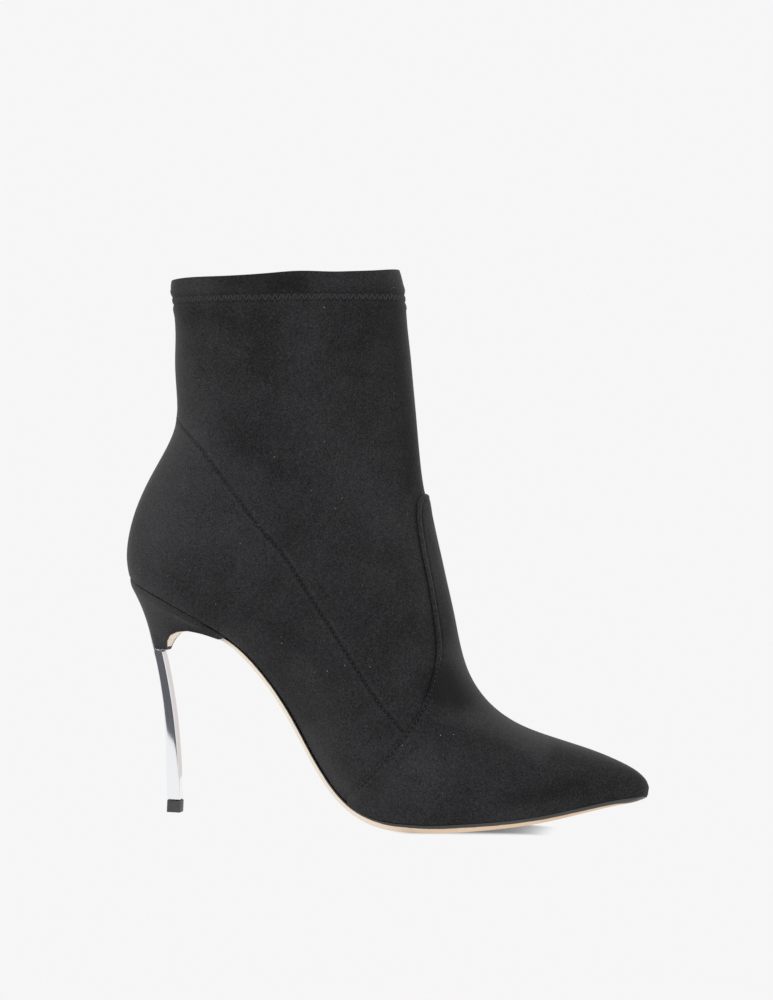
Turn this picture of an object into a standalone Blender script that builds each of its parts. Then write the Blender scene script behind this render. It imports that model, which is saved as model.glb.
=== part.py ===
# Stiletto ankle bootie, a right shoe.
# Origin at the centre of the heel tip's ground face, +X to the toe, -Y the outer side, +Z up.
# The tables are in millimetres, and every vertex is scaled to metres as it is made.

import math

import bmesh
import bpy
from mathutils import Vector

for old in list(bpy.data.objects):
    bpy.data.objects.remove(old, do_unlink=True)

MM = 0.001
GAP = 0.3                  # between curved pieces that lie on each other
SLOPE_STEP = 0.05          # rows to each side when the direction of a line is taken
SHARP_ANGLE = 40           # degrees from which an edge is shaded sharp

# Upper
WALL = 1.5                 # suede and lining
HEM_EXTRA = 0.8            # the collar is turned in once more
HEM_ROW = 30               # row of SECTIONS where the hem begins
COLLAR_WAVE = 0.6          # rise of the collar edge between its back and its front
SIDE_COLUMNS = 16          # faces from the middle of the top to the sole, each side
TOP_COLUMNS = 9            # how many of those lie above the widest line
FOOT_STEPS = 2             # mesh rows for each row of SECTIONS, from the toe to the heel
SHAFT_STEPS = 1            # and above the heel
HEEL_ROW = 20              # row of SECTIONS that ends at the back of the heel seat
LEDGE_ROWS = (14.5, 16.0)  # the outsole's ledge dies out between these rows

# Vamp overlay
VAMP_THICK = 1.1
VAMP_COVER = GAP + VAMP_THICK
VAMP_LAST_ROW = 22
VAMP_MARGIN = 20           # how far the cutter of its side outline reaches past it

# Outsole, insole, heel
LEDGE = 0.5                # how far the outsole's edge stands out past the upper
SOLE_THICK = 3.3           # under the ball
SOLE_THICK_TOE = 1.9
SOLE_THICK_WAIST = 2.1
SOLE_BALL_ROWS = (7, 9)    # the sole thickens up to the first and thins from the second
SOLE_THINNING = 1.5        # rows over which it thins
SOLE_LAST_ROW = 15         # behind this row the outsole leaves the upper and follows ARCH
SOLE_EDGE = 0.45           # share of the outsole's thickness that is its upright edge
SOLE_BEVEL = 1.5
FLAP_BEVEL = 0.2
TIP_BEVEL = 0.3
LEAST_HALF = 1.2           # half width of the outsole at the toe's point
FLAT_SPOT = 0.05           # what comes this near to the ground under the ball lies on it
INSOLE_THICK = 2.0
INSOLE_ROWS = (2.5, 18.5)
INSOLE_SLACK = 2.25        # from the upper's outer face to the insole's edge
TIP_DEPTH = 5.9
TIP_WIDTH = 8.2
TIP_HEIGHT = 5.1
TIP_CORNER = 0.7
TIP_CORNER_STEPS = 3

# One row for each section of the lasted shoe, from the toe tip to the collar. A section lies in a
# plane that holds the Y direction and runs from its sole point to its top point. Above the heel row
# the sole point is a point of the back line. Half widths are outer (lateral) and inner (medial),
# at the sole and at the widest line. high is the widest line's share of the way up, square the
# exponent of the section above it, round how round it closes below, mid the section's middle in Y.
# lid and side are the share of the vamp's thickness that the given outline includes there.
SECTION_COLUMNS = ("sole_x", "sole_z", "top_x", "top_z", "sole_lat", "sole_med",
                   "wide_lat", "wide_med", "high", "square", "round", "mid", "lid", "side")
SECTIONS = (
    (203.1, 18.2, 203.4, 21.0, 0.0, 0.0, 0.0, 0.0, 0.40, 2.1, 0.0, 4.0, 1, 1),
    (201.9, 17.9, 202.2, 24.0, 3.8, 3.8, 4.1, 4.1, 0.40, 2.2, 0.0, 4.0, 1, 1),
    (197.5, 17.3, 197.6, 28.1, 7.6, 7.4, 8.2, 8.1, 0.38, 2.2, 0.0, 3.8, 1, 1),
    (190.0, 16.2, 190.2, 31.7, 12.1, 11.7, 13.0, 12.7, 0.36, 2.2, 0.0, 3.4, 1, 1),
    (178.0, 13.4, 178.3, 36.0, 18.7, 18.0, 20.0, 19.5, 0.33, 2.2, 0.0, 2.8, 1, 1),
    (161.0, 9.2, 162.5, 40.3, 26.4, 25.6, 28.2, 27.6, 0.30, 2.1, 0.0, 1.8, 1, 1),
    (144.0, 6.5, 147.0, 45.2, 32.4, 31.6, 34.8, 34.2, 0.27, 2.0, 0.0, 0.8, 1, 1),
    (128.0, 4.9, 133.5, 54.0, 35.7, 34.9, 38.7, 38.0, 0.23, 1.95, 0.0, 0.0, 1, 1),
    (113.0, 3.6, 124.2, 66.8, 36.4, 34.2, 39.9, 38.3, 0.20, 1.9, 0.0, -0.1, 1, 1),
    (99.5, 3.6, 119.6, 80.6, 34.8, 30.4, 39.0, 36.4, 0.21, 1.85, 0.0, -0.5, 1, 1),
    (86.5, 5.8, 117.3, 90.4, 30.7, 24.9, 36.9, 33.8, 0.26, 1.85, 0.0, -0.9, 1, 0.8),
    (74.0, 12.7, 115.1, 98.8, 24.6, 19.2, 34.4, 31.2, 0.33, 1.9, 0.0, -1.0, 1, 0),
    (63.0, 25.4, 113.1, 106.0, 19.2, 15.2, 32.4, 29.6, 0.39, 1.95, 0.0, -0.9, 1, 0),
    (53.2, 41.0, 111.2, 113.1, 15.6, 13.2, 30.8, 28.8, 0.42, 2.0, 0.0, -0.7, 1, 0),
    (42.3, 56.6, 109.3, 120.0, 14.1, 12.9, 29.7, 28.5, 0.43, 2.0, 0.0, -0.4, 1, 0),
    (30.5, 70.2, 107.6, 126.4, 15.1, 14.3, 29.0, 28.2, 0.43, 2.0, 0.0, -0.2, 1, 0),
    (18.0, 79.6, 106.0, 132.6, 18.0, 17.4, 28.8, 28.2, 0.42, 2.0, 0.0, 0.0, 1, 0),
    (2.0, 87.8, 103.6, 138.0, 21.5, 21.0, 29.0, 28.5, 0.41, 2.0, 0.05, 0.0, 0, 0),
    (-12.5, 94.9, 101.8, 144.6, 19.9, 19.6, 29.2, 28.8, 0.41, 2.0, 0.15, 0.0, 0, 0),
    (-21.3, 99.3, 100.8, 149.8, 12.0, 12.0, 29.4, 29.0, 0.42, 2.0, 0.55, 0.0, 0, 0),
    (-24.3, 101.0, 100.2, 153.4, 0.0, 0.0, 29.5, 29.1, 0.43, 2.0, 1.1, 0.0, 0, 0),
    (-25.6, 107.0, 99.4, 158.8, 0.0, 0.0, 29.6, 29.2, 0.44, 2.0, 1.1, 0.0, 0, 0),
    (-25.4, 116.0, 98.6, 164.6, 0.0, 0.0, 29.7, 29.3, 0.45, 2.0, 1.05, 0.0, 0, 0),
    (-22.7, 128.8, 97.7, 171.6, 0.0, 0.0, 29.8, 29.4, 0.46, 2.0, 1.0, 0.0, 0, 0),
    (-17.0, 143.0, 96.6, 179.6, 0.0, 0.0, 30.0, 29.6, 0.47, 2.0, 1.0, 0.0, 0, 0),
    (-10.4, 156.4, 95.4, 188.0, 0.0, 0.0, 30.2, 29.8, 0.48, 2.0, 1.0, 0.0, 0, 0),
    (-6.5, 167.5, 94.4, 195.4, 0.0, 0.0, 30.4, 30.0, 0.49, 2.0, 1.0, 0.0, 0, 0),
    (-7.0, 180.0, 93.3, 203.0, 0.0, 0.0, 30.7, 30.3, 0.50, 2.0, 1.0, 0.0, 0, 0),
    (-8.3, 193.0, 92.0, 211.0, 0.0, 0.0, 31.0, 30.6, 0.50, 2.0, 1.0, 0.0, 0, 0),
    (-8.6, 206.0, 91.2, 218.0, 0.0, 0.0, 31.2, 30.8, 0.50, 2.0, 1.0, 0.0, 0, 0),
    (-10.3, 219.0, 90.6, 224.6, 0.0, 0.0, 31.2, 30.8, 0.50, 2.0, 1.0, 0.0, 0, 0),
    (-11.5, 224.6, 89.6, 230.0, 0.0, 0.0, 31.3, 30.9, 0.50, 2.0, 1.0, 0.0, 0, 0),
    (-10.9, 228.3, 87.6, 235.2, 0.0, 0.0, 30.8, 30.4, 0.50, 2.0, 1.0, 0.0, 0, 0),
)

# The vamp's edge seen from the side, from the sole up to the top of the tab: x, z
VAMP_EDGE = (
    (77.0, 4.0), (79.5, 13.0), (84.0, 18.0), (95.6, 31.7), (106.0, 46.0), (111.4, 58.5),
    (113.6, 72.0), (112.6, 84.0), (109.0, 101.0), (104.5, 118.0), (102.2, 128.0),
    (101.3, 135.0), (101.9, 139.6), (104.0, 142.0), (107.5, 142.6),
)

# The outsole's underside behind the waist: x, z, thickness, half width, where it follows the arch
# of the heel block and then hangs down its breast as a flap
ARCH = (
    (25.2, 71.9, 1.7, 15.4),
    (20.4, 75.1, 1.6, 14.2),
    (15.0, 77.2, 1.6, 13.9),
    (9.5, 78.3, 1.6, 13.5),
    (4.0, 78.7, 1.6, 13.0),
    (-0.4, 77.9, 1.5, 12.2),
    (-3.4, 76.2, 1.4, 11.0),
    (-5.0, 73.8, 1.2, 8.0),
    (-5.7, 71.0, 1.1, 4.4),
)

# Slices of the heel block from the seat down to its lower end: the back and front point, the
# half width at the front, the half width in the middle, and how far the slice has turned from
# the seat's outline into the blade's
BLOCK_COLUMNS = ("back_x", "back_z", "front_x", "front_z", "front_half", "mid_half", "turned")
BLOCK = (
    (-24.3, 100.6, 21.5, 76.8, 17.1, 21.6, 0.0),
    (-24.2, 97.6, 18.6, 75.7, 16.6, 20.6, 0.05),
    (-22.4, 94.8, 11.0, 77.9, 15.6, 18.2, 0.2),
    (-20.4, 91.2, 4.5, 78.7, 14.8, 15.8, 0.4),
    (-18.4, 87.4, 0.0, 78.1, 13.9, 13.6, 0.6),
    (-16.5, 83.2, -3.2, 76.5, 12.6, 11.4, 0.75),
    (-14.9, 78.8, -5.0, 74.0, 10.0, 9.0, 0.9),
    (-13.3, 73.6, -5.7, 71.2, 6.6, 6.4, 1.0),
    (-12.1, 69.8, -5.8, 69.6, 4.9, 4.9, 1.0),
)
BLOCK_BACK_SHARE = 0.45    # share of a slice's length that its rounded back takes at the seat
BLOCK_SIDE_POINTS = 9
SEAT_GAP = 0.35            # straight up between the block and the upper
SEAT_HALVINGS = 30         # of the interval in which a place on the seat is looked for

# The blade from its foot to the top of its spine: height, back x, front x, half width
BLADE = (
    (5.4, -3.0, 2.8, 4.0),
    (14.0, -3.7, 2.1, 4.05),
    (24.0, -4.3, 1.2, 4.1),
    (34.0, -5.1, 0.0, 4.2),
    (44.0, -6.3, -1.5, 4.25),
    (54.0, -8.1, -3.6, 4.35),
    (63.0, -10.2, -5.8, 4.45),
    (69.2, -12.0, -7.7, 4.5),
)
SPINE = (
    (69.5, -12.1, -10.7, 4.2),
    (74.0, -13.4, -12.3, 3.8),
    (79.0, -15.0, -14.2, 3.2),
    (84.5, -17.0, -16.5, 2.3),
)
BLADE_CORNER = 0.6


def slopes(values):
    """Monotone cubic slopes of a column at its rows."""
    steps = [b - a for a, b in zip(values, values[1:])]
    inner = [2 * a * b / (a + b) if a * b > 0 else 0.0 for a, b in zip(steps, steps[1:])]
    return [steps[0]] + inner + [steps[-1]]


def hermite(values, slope, place):
    """Value of a column at a place between its rows."""
    row = min(int(place), len(values) - 2)
    t = place - row
    a, b = values[row], values[row + 1]
    m, n = slope[row], slope[row + 1]
    bend = t * t * (3 - 2 * t)
    return a + (b - a) * bend + m * t * (1 - t) ** 2 - n * t * t * (1 - t)


class Table:
    """Rows with named columns, read anywhere between the rows."""

    def __init__(self, names, rows):
        self.columns = {}
        for name, values in zip(names, zip(*rows)):
            self.columns[name] = (values, slopes(values))
        self.last = len(rows) - 1

    def at(self, name, place):
        values, slope = self.columns[name]
        return hermite(values, slope, min(max(place, 0.0), self.last))


sections = Table(SECTION_COLUMNS, SECTIONS)


def step_along(line, place):
    """How far the sole line or the top line runs in X and Z over a short way about a place."""
    before, after = place - SLOPE_STEP, place + SLOPE_STEP
    return (sections.at(line + "_x", after) - sections.at(line + "_x", before),
            sections.at(line + "_z", after) - sections.at(line + "_z", before))


def downward(place):
    """Unit normal of the sole line, pointing away from the foot, in X and Z."""
    dx, dz = step_along("sole", place)
    size = math.hypot(dx, dz)
    return -dz / size, dx / size


def top_point(place):
    """Top of the upper, which lies the vamp's thickness inside the outline where it is covered."""
    dx, dz = step_along("top", place)
    size = math.hypot(dx, dz)
    cover = VAMP_COVER * sections.at("lid", place)
    return (sections.at("top_x", place) - cover * dz / size,
            sections.at("top_z", place) + cover * dx / size)


def inset(half, depth):
    """Half width set in by a depth, which eases to nothing where the toe runs out to its point."""
    return half * half / (half + depth) if half > 0 else 0.0


def upper_half(name, side, place):
    """Half width of the upper's own outer face, inside the vamp and inside the sole's ledge."""
    fading, gone = LEDGE_ROWS
    in_front = min(max((gone - place) / (gone - fading), 0.0), 1.0)
    depth = VAMP_COVER * sections.at("side", place)
    if name == "sole":
        depth += LEDGE * in_front
    return inset(sections.at(name + "_" + side, place), depth)


def closing(drop, rounded):
    """Share of the width left at a drop from the widest line, 0, to the sole, 1."""
    drop = min(drop, 1.0)
    return (1 - drop ** (2 + 0.4 * rounded)) ** (1 / (1 + 1.4 * rounded))


def upper_point(place, across):
    """Point of the upper's outer face; across runs from -1, outer side, over 0, top, to 1."""
    top_x, top_z = top_point(place)
    sole_x = min(sections.at("sole_x", place), top_x - GAP)
    sole_z = sections.at("sole_z", place)
    side = "lat" if across < 0 else "med"
    high = sections.at("high", place)
    wide = upper_half("wide", side, place)
    low = upper_half("sole", side, place)
    widest = TOP_COLUMNS / SIDE_COLUMNS
    if abs(across) <= widest:
        turn = abs(across) / widest * math.pi / 2
        power = 2 / sections.at("square", place)
        half = wide * math.sin(turn) ** power
        share = high + (1 - high) * max(math.cos(turn), 0.0) ** power
    else:
        down = (abs(across) - widest) / (1 - widest)
        rounded = sections.at("round", place)
        drop = down + (math.sin(down * math.pi / 2) - down) * min(rounded, 1.0)
        half = low + (wide - low) * closing(drop, rounded)
        share = high * (1 - drop)
    y = sections.at("mid", place) + math.copysign(half, across)
    x = sole_x + (top_x - sole_x) * share
    z = sole_z + (top_z - sole_z) * share
    if place > HEM_ROW:
        rise = COLLAR_WAVE * (place - HEM_ROW) / (sections.last - HEM_ROW)
        z += rise * math.sin(math.pi * share)
    return Vector((x, y, z))


def rows_between(first, last):
    """Places of the mesh rows."""
    foot = [n / FOOT_STEPS for n in range(FOOT_STEPS * HEEL_ROW)]
    shaft_steps = SHAFT_STEPS * (sections.last - HEEL_ROW)
    shaft = [HEEL_ROW + n / SHAFT_STEPS for n in range(shaft_steps + 1)]
    return [place for place in foot + shaft if first <= place <= last]


def lasted_sheet(last_row):
    """The upper's outer face as a grid of vertices, its faces and its outward normals."""
    places = rows_between(0, last_row)
    mesh = bmesh.new()
    grid = []
    for place in places:
        row = []
        for column in range(-SIDE_COLUMNS, SIDE_COLUMNS + 1):
            mirrored = 2 * SIDE_COLUMNS - len(row)
            folded = place == 0 and column > 0
            closed = place >= HEEL_ROW and column == SIDE_COLUMNS
            if folded or closed:
                row.append(row[mirrored])
                continue
            row.append(mesh.verts.new(upper_point(place, column / SIDE_COLUMNS)))
        grid.append(row)
    for lower, upper in zip(grid, grid[1:]):
        for n in range(2 * SIDE_COLUMNS):
            corners = [lower[n], lower[n + 1], upper[n + 1], upper[n]]
            mesh.faces.new(list(dict.fromkeys(corners)))
    bmesh.ops.recalc_face_normals(mesh, faces=mesh.faces)
    mesh.normal_update()
    foremost = max(mesh.faces, key=lambda face: face.calc_center_median().x)
    if foremost.normal.x < 0:
        bmesh.ops.reverse_faces(mesh, faces=mesh.faces)
        mesh.normal_update()
    return mesh, grid, places


def outward(vertex, place, at_sole):
    """Outward direction at a vertex; at the sole it lies along the sole, for a flat rim."""
    normal = vertex.normal.copy()
    if at_sole and place < HEEL_ROW:
        down_x, down_z = downward(place)
        down = Vector((down_x, 0.0, down_z))
        normal -= down * normal.dot(down)
        normal.normalize()
    return normal


def shell(name, last_row, outer, inner):
    """Closed solid between two offsets of the upper's outer face, the inner one for each row."""
    sheet, grid, places = lasted_sheet(last_row)
    solid = bmesh.new()
    outside = {}
    inside = {}
    for row, place in zip(grid, places):
        for n, vertex in enumerate(row):
            if vertex in outside:
                continue
            at_sole = n in (0, 2 * SIDE_COLUMNS)
            direction = outward(vertex, place, at_sole)
            outside[vertex] = solid.verts.new((vertex.co + direction * outer) * MM)
            inside[vertex] = solid.verts.new((vertex.co + direction * inner(place)) * MM)
    for face in sheet.faces:
        solid.faces.new([outside[v] for v in face.verts])
        solid.faces.new([inside[v] for v in reversed(face.verts)])
    for edge in sheet.edges:
        if edge.is_boundary:
            a, b = edge.verts
            solid.faces.new([outside[a], outside[b], inside[b], inside[a]])
    sheet.free()
    return finish(name, solid)


def finish(name, mesh):
    """Object from a closed mesh, with its faces turned out and smooth shading."""
    bmesh.ops.recalc_face_normals(mesh, faces=mesh.faces)
    data = bpy.data.meshes.new(name)
    mesh.to_mesh(data)
    mesh.free()
    data.shade_smooth()
    data.set_sharp_from_angle(angle=math.radians(SHARP_ANGLE))
    made = bpy.data.objects.new(name, data)
    bpy.context.collection.objects.link(made)
    return made


def loft(name, loops):
    """Closed solid through loops of points, capped at both ends."""
    mesh = bmesh.new()
    rings = [[mesh.verts.new(Vector(point) * MM) for point in loop] for loop in loops]
    for ring, following in zip(rings, rings[1:]):
        for n in range(len(ring)):
            m = (n + 1) % len(ring)
            mesh.faces.new((ring[n], ring[m], following[m], following[n]))
    mesh.faces.new(list(reversed(rings[0])))
    mesh.faces.new(rings[-1])
    return finish(name, mesh)


def cut(target, cutter, operation="DIFFERENCE"):
    """Cut one solid with another and keep the cutter out of the model."""
    cutter.hide_render = True
    cutter.display_type = "WIRE"
    cutter.hide_set(True)
    made = target.modifiers.new("cut_" + cutter.name, "BOOLEAN")
    made.operation = operation
    made.solver = "EXACT"
    made.object = cutter


def material(name, colour, roughness, metallic=0.0):
    """Plain Principled material."""
    made = bpy.data.materials.new(name)
    made.use_nodes = True
    shader = made.node_tree.nodes["Principled BSDF"]
    shader.inputs["Base Color"].default_value = (*colour, 1.0)
    shader.inputs["Roughness"].default_value = roughness
    shader.inputs["Metallic"].default_value = metallic
    return made


def make_upper():
    """Hollow upper, open at the collar and along the sole."""
    def inner(place):
        return -(WALL + HEM_EXTRA if place >= HEM_ROW else WALL)
    return shell("upper", sections.last, 0.0, inner)


def make_vamp():
    """Overlay on the toe and the front of the ankle, cut to its edge from the upper's own form."""
    made = shell("vamp", VAMP_LAST_ROW, VAMP_COVER, lambda place: GAP)
    back, top = VAMP_EDGE[0][0], VAMP_EDGE[-1][1]
    front = sections.at("sole_x", 0) + VAMP_MARGIN
    bottom = VAMP_EDGE[0][1] - VAMP_MARGIN
    outline = list(VAMP_EDGE) + [(front, top), (front, bottom), (back, bottom)]
    reach = max(sections.columns["wide_lat"][0]) + VAMP_MARGIN
    loops = [[(x, y, z) for x, z in outline] for y in (-reach, reach)]
    cut(made, loft("vamp_outline", loops), "INTERSECT")
    return made


def sole_thickness(place):
    """Outsole thickness along the foot, thickest under the ball."""
    first, last = SOLE_BALL_ROWS
    if place < first:
        return SOLE_THICK_TOE + (SOLE_THICK - SOLE_THICK_TOE) * (place / first) ** 1.5
    waist = min(max((place - last) / SOLE_THINNING, 0.0), 1.0)
    return SOLE_THICK + (SOLE_THICK_WAIST - SOLE_THICK) * waist


def outsole_stations():
    """Points of the underside with thickness, half widths, middle and bevel, toe to breast."""
    stations = []
    for place in rows_between(0, SOLE_LAST_ROW):
        down_x, down_z = downward(place)
        thick = sole_thickness(place)
        depth = thick + GAP
        x = sections.at("sole_x", place) + down_x * depth
        z = sections.at("sole_z", place) + down_z * depth
        if z < FLAT_SPOT:
            z = 0.0
        lat = sections.at("sole_lat", place)
        med = sections.at("sole_med", place)
        stations.append((x, z, thick, lat, med, sections.at("mid", place), SOLE_BEVEL))
    for x, z, thick, half in ARCH:
        stations.append((x, z, thick, half, half, 0.0, FLAP_BEVEL))
    return stations


def make_outsole(name="outsole", grow=0.0, below=0.0):
    """Leather sole; grow and below make it larger for the recess it lies in."""
    stations = outsole_stations()
    loops = []
    for n, (x, z, thick, lat, med, mid, bevel) in enumerate(stations):
        before = stations[max(n - 1, 0)]
        after = stations[min(n + 1, len(stations) - 1)]
        dx, dz = after[0] - before[0], after[1] - before[1]
        size = math.hypot(dx, dz)
        up_x, up_z = (dz / size, -dx / size) if z > 0 else (0.0, 1.0)
        if lat < LEAST_HALF:
            bevel = TIP_BEVEL
        lat, med = (max(half, LEAST_HALF) + grow for half in (lat, med))
        loop = []
        levels = (thick + grow, thick * (1 - SOLE_EDGE), -below)
        for half, lift in zip((lat, lat, lat - bevel), levels):
            loop.append((x + up_x * lift, mid - half, z + up_z * lift))
        for half, lift in zip((med - bevel, med, med), reversed(levels)):
            loop.append((x + up_x * lift, mid + half, z + up_z * lift))
        loops.append(loop)
    return loft(name, loops)


def inside_half(place, side, rise):
    """Half width inside the upper, a given rise above the sole line."""
    top_x, top_z = top_point(place)
    length = math.hypot(top_x - sections.at("sole_x", place), top_z - sections.at("sole_z", place))
    high = sections.at("high", place)
    drop = 1 - min(rise / (length * high), 1.0)
    wide = upper_half("wide", side, place)
    low = upper_half("sole", side, place)
    rounded = sections.at("round", place)
    along = math.hypot(*step_along("sole", place))
    narrowing = (sections.at("sole_" + side, place + SLOPE_STEP)
                 - sections.at("sole_" + side, place - SLOPE_STEP))
    oblique = math.hypot(along, narrowing) / along
    return low + (wide - low) * closing(drop, rounded) - INSOLE_SLACK * oblique


def make_insole():
    """Board that lies inside the upper, just above the rim of its wall."""
    loops = []
    for place in rows_between(*INSOLE_ROWS):
        down_x, down_z = downward(place)
        sole_x, sole_z = sections.at("sole_x", place), sections.at("sole_z", place)
        top_x, top_z = top_point(place)
        length = math.hypot(top_x - sole_x, top_z - sole_z)
        along_x, along_z = (top_x - sole_x) / length, (top_z - sole_z) / length
        steep = -(along_x * down_x + along_z * down_z)
        low = GAP * 2 / steep
        high = (GAP * 2 + INSOLE_THICK) / steep
        lat = inside_half(place, "lat", low)
        med = inside_half(place, "med", low)
        mid = sections.at("mid", place)
        loop = []
        for half, rise in ((-lat, high), (-lat, low), (med, low), (med, high)):
            loop.append((sole_x + along_x * rise, mid + half, sole_z + along_z * rise))
        loops.append(loop)
    return loft("insole", loops)


def seat_half(share, side):
    """Half width and height of the seat, from its back at 0 to the front of the wings at 1."""
    back = sections.at("sole_x", HEEL_ROW)
    x = back + (BLOCK[0][2] - back) * share
    low, high = SOLE_LAST_ROW, HEEL_ROW
    for _ in range(SEAT_HALVINGS):
        middle = (low + high) / 2
        if sections.at("sole_x", middle) > x:
            low = middle
        else:
            high = middle
    return sections.at("sole_" + side, low), sections.at("sole_z", low)


def block_point(values, share, side):
    """X, half width and Z of a slice at a share of its length from the back to the front."""
    turned = values["turned"]
    seat, seat_z = seat_half(share, side)
    seat_back, seat_front = seat_half(0.0, side)[1], seat_half(1.0, side)[1]
    middle, front = values["mid_half"], values["front_half"]
    forward = max(share - BLOCK_BACK_SHARE, 0.0) / (1 - BLOCK_BACK_SHARE)
    ahead = 1 - min(share / BLOCK_BACK_SHARE, 1.0)
    plain = math.sqrt(1 - ahead ** 2) * (middle + (front - middle) * forward)
    lasted = seat * middle / BLOCK[0][BLOCK_COLUMNS.index("mid_half")]
    half = lasted + (plain - lasted) * turned
    half += (front - half) * forward ** 2
    x = values["back_x"] + (values["front_x"] - values["back_x"]) * share
    if turned == 0:
        return x, half, seat_z - SEAT_GAP
    z = values["back_z"] + (values["front_z"] - values["back_z"]) * share
    bow = seat_z - seat_back - (seat_front - seat_back) * share
    return x, half, z + bow * (1 - turned)


def block_slice(row):
    """Loop of one slice of the heel block."""
    values = dict(zip(BLOCK_COLUMNS, BLOCK[row]))
    last = BLOCK_SIDE_POINTS - 1
    shares = [0.5 - 0.5 * math.cos(math.pi * n / last) for n in range(BLOCK_SIDE_POINTS)]
    sides = {}
    for side, sign in (("lat", -1), ("med", 1)):
        line = [block_point(values, share, side) for share in shares]
        sides[side] = [(x, sign * half, z) for x, half, z in line]
    return sides["med"] + list(reversed(sides["lat"]))[:-1]


def make_block():
    """Suede-covered heel block: seat, wings and breast, with recesses for outsole and spine."""
    made = loft("heel_block", [block_slice(row) for row in range(len(BLOCK))])
    cut(made, make_outsole("outsole_recess", GAP, SOLE_THICK))
    cut(made, make_blade("spine_recess", GAP))
    return made


def blade_loop(height, back, front, half, grow):
    """Loop of one level of the blade, with its corners rounded off."""
    corner = min(BLADE_CORNER, (front - back) * 0.3)
    near = corner * 0.3
    back, front, half = back - grow, front + grow, half + grow
    quarter = [(back, half - corner), (back + near, half - near), (back + corner, half),
               (front - corner, half), (front - near, half - near), (front, half - corner)]
    mirrored = [(x, -y) for x, y in reversed(quarter)]
    return [(x, y, height) for x, y in quarter + mirrored]


def make_blade(name="heel_blade", grow=0.0):
    """Metal blade with a thin spine up the back of the block."""
    loops = [blade_loop(*row, grow) for row in BLADE + SPINE]
    return loft(name, loops)


def make_tip():
    """Rubber top piece on the ground."""
    across_x, across_y = TIP_DEPTH / 2 - TIP_CORNER, TIP_WIDTH / 2 - TIP_CORNER
    outline = []
    for quarter, (sign_x, sign_y) in enumerate(((1, 1), (-1, 1), (-1, -1), (1, -1))):
        for step in range(TIP_CORNER_STEPS + 1):
            angle = (quarter + step / TIP_CORNER_STEPS) * math.pi / 2
            outline.append((sign_x * across_x + TIP_CORNER * math.cos(angle),
                            sign_y * across_y + TIP_CORNER * math.sin(angle)))
    return loft("heel_tip", [[(x, y, z) for x, y in outline] for z in (0.0, TIP_HEIGHT)])


suede = material("suede", (0.024, 0.023, 0.024), 0.95)
chrome = material("polished_metal", (0.82, 0.83, 0.85), 0.08, 1.0)
rubber = material("rubber", (0.02, 0.02, 0.02), 0.6)
sole_leather = material("sole_leather", (0.78, 0.55, 0.36), 0.45)
sock_leather = material("sock_leather", (0.55, 0.42, 0.30), 0.6)

make_upper().data.materials.append(suede)
make_vamp().data.materials.append(suede)
make_insole().data.materials.append(sock_leather)
make_outsole().data.materials.append(sole_leather)
make_block().data.materials.append(suede)
make_blade().data.materials.append(chrome)
make_tip().data.materials.append(rubber)
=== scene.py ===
# Looks of the stiletto ankle bootie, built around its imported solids.
# Sizes in the dictionaries are millimetres in the shoe's own frame: X to the toe, -Y the outer side, Z up.
import math
import random

import bpy
from mathutils import Matrix, Vector
from mathutils.bvhtree import BVHTree
from mathutils.kdtree import KDTree


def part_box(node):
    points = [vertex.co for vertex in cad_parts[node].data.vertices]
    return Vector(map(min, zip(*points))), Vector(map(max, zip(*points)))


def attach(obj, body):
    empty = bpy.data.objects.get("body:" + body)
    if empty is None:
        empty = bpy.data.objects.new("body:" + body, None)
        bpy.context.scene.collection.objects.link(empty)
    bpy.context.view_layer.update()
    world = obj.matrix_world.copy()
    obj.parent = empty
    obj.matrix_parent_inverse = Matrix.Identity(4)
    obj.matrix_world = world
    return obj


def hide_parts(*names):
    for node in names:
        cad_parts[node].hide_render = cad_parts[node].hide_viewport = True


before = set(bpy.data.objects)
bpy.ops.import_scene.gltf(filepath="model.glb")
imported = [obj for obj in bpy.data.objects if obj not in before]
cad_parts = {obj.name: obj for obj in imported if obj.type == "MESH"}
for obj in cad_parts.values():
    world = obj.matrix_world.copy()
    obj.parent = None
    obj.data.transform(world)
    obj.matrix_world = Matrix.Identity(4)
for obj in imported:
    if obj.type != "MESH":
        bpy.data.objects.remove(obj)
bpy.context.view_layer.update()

bpy.ops.object.select_all(action="DESELECT")
scene = bpy.context.scene
mm = 0.001


def say(text):
    print("bootie:", text)


def pick(obj):                                  # only this object, active
    bpy.ops.object.select_all(action="DESELECT")
    obj.select_set(True)
    bpy.context.view_layer.objects.active = obj


def useModifier(obj, kind, **values):           # added and applied at once
    made = obj.modifiers.new(kind.lower(), kind)
    for key, value in values.items():
        setattr(made, key, value)
    pick(obj)
    bpy.ops.object.modifier_apply(modifier=made.name)


def selectFaces(obj, test):                     # leaves the object in edit mode with these faces picked
    pick(obj)
    bpy.ops.object.mode_set(mode="EDIT")
    bpy.ops.mesh.select_mode(type="FACE")
    bpy.ops.mesh.select_all(action="DESELECT")
    bpy.ops.object.mode_set(mode="OBJECT")
    for face in obj.data.polygons:
        face.select = test(face)
    bpy.ops.object.mode_set(mode="EDIT")


def dropFaces(obj, test):
    selectFaces(obj, test)
    bpy.ops.mesh.delete(type="FACE")
    bpy.ops.object.mode_set(mode="OBJECT")


def addObject(name, data):
    made = bpy.data.objects.new(name, data)
    scene.collection.objects.link(made)
    return made


def addMesh(name, places, faces):
    mesh = bpy.data.meshes.new(name)
    mesh.from_pydata(places, [], faces)
    return addObject(name, mesh)


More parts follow.
